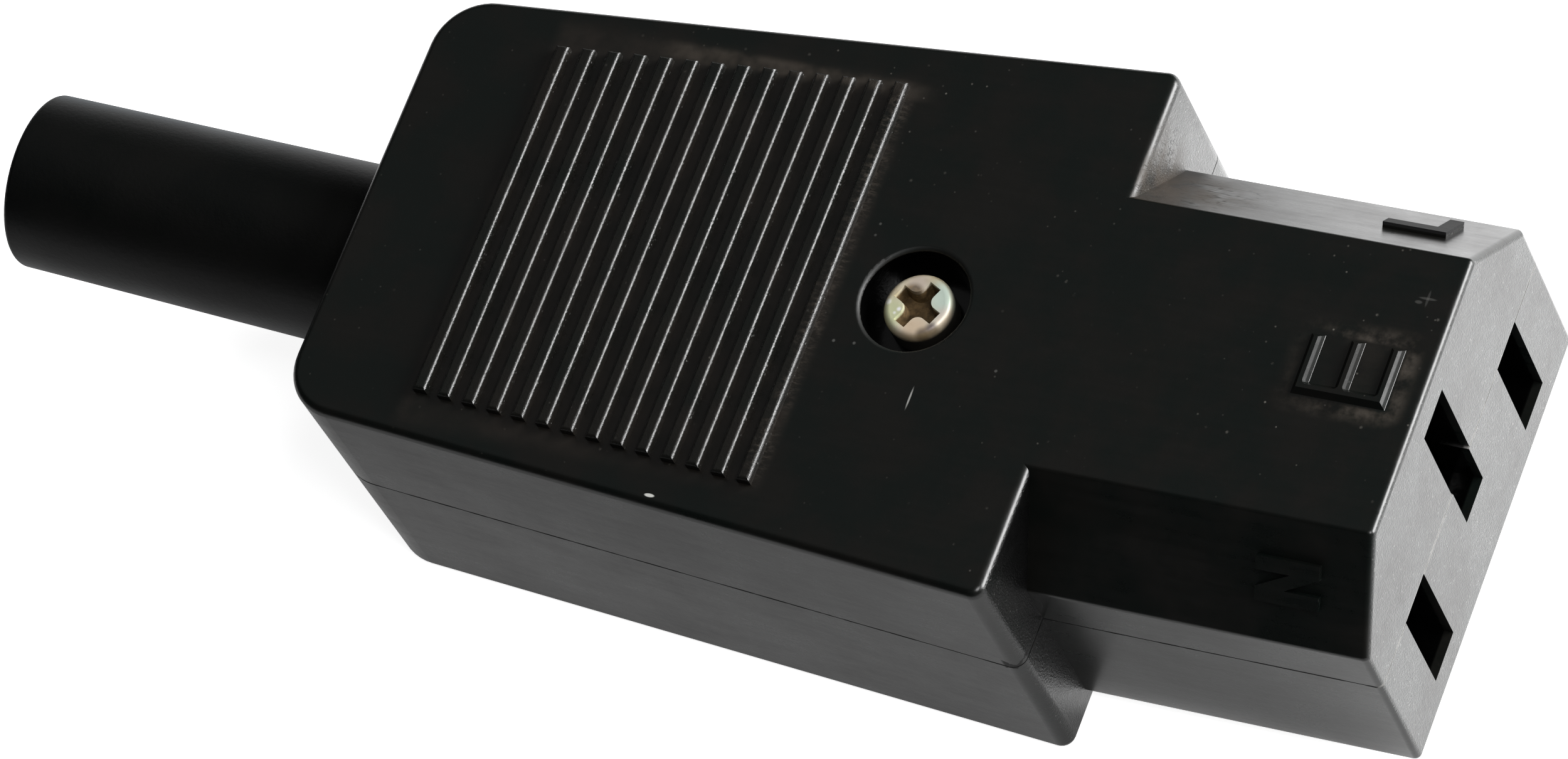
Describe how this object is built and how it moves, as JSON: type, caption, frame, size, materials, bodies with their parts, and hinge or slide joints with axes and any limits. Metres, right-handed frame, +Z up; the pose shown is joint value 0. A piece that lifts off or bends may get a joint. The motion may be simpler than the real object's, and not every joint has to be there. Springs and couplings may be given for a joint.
{
  "type": "iec cable socket",
  "caption": "Rewireable cable-end socket for appliance inlets: black moulded shells with grip ribs, a closing screw, sprung female contacts, a cord clamp and a rubber cable sleeve.",
  "frame": {"origin": "centre of the bounding box on its underside, which is the flat underside of the housing", "axes": "+X towards the pin slots, +Y towards the line contact, +Z up towards the earth slot and grip ribs"},
  "size_m": [0.0795, 0.0294, 0.0171],
  "materials": {
    "housing_plastic": "black moulded plastic, semi-matt",
    "sleeve_rubber": "matt black rubber",
    "closing_screw_metal": "yellow passivated, dulled",
    "nut_steel": "zinc plated",
    "contact_brass": "bare rolled brass",
    "spring_steel": "plain spring steel",
    "terminal_steel": "nickel plated",
    "clamp_plastic": "black moulded plastic",
    "clamp_screw_steel": "zinc plated"
  },
  "bodies": {
    "root": {"upper_shell": "housing_plastic", "lower_shell": "housing_plastic", "cable_sleeve": "sleeve_rubber", "housing_screw": "closing_screw_metal", "housing_nut": "nut_steel", "cord_clamp_bar": "clamp_plastic", "cord_clamp_screw_left": "clamp_screw_steel", "cord_clamp_screw_right": "clamp_screw_steel", "line_contact": "contact_brass", "line_contact_spring": "spring_steel", "line_clamp_plate": "terminal_steel", "line_terminal_screw": "terminal_steel", "neutral_contact": "contact_brass", "neutral_contact_spring": "spring_steel", "neutral_clamp_plate": "terminal_steel", "neutral_terminal_screw": "terminal_steel", "earth_contact": "contact_brass", "earth_contact_spring": "spring_steel", "earth_clamp_plate": "terminal_steel", "earth_terminal_screw": "terminal_steel"}
  },
  "joints": []
}
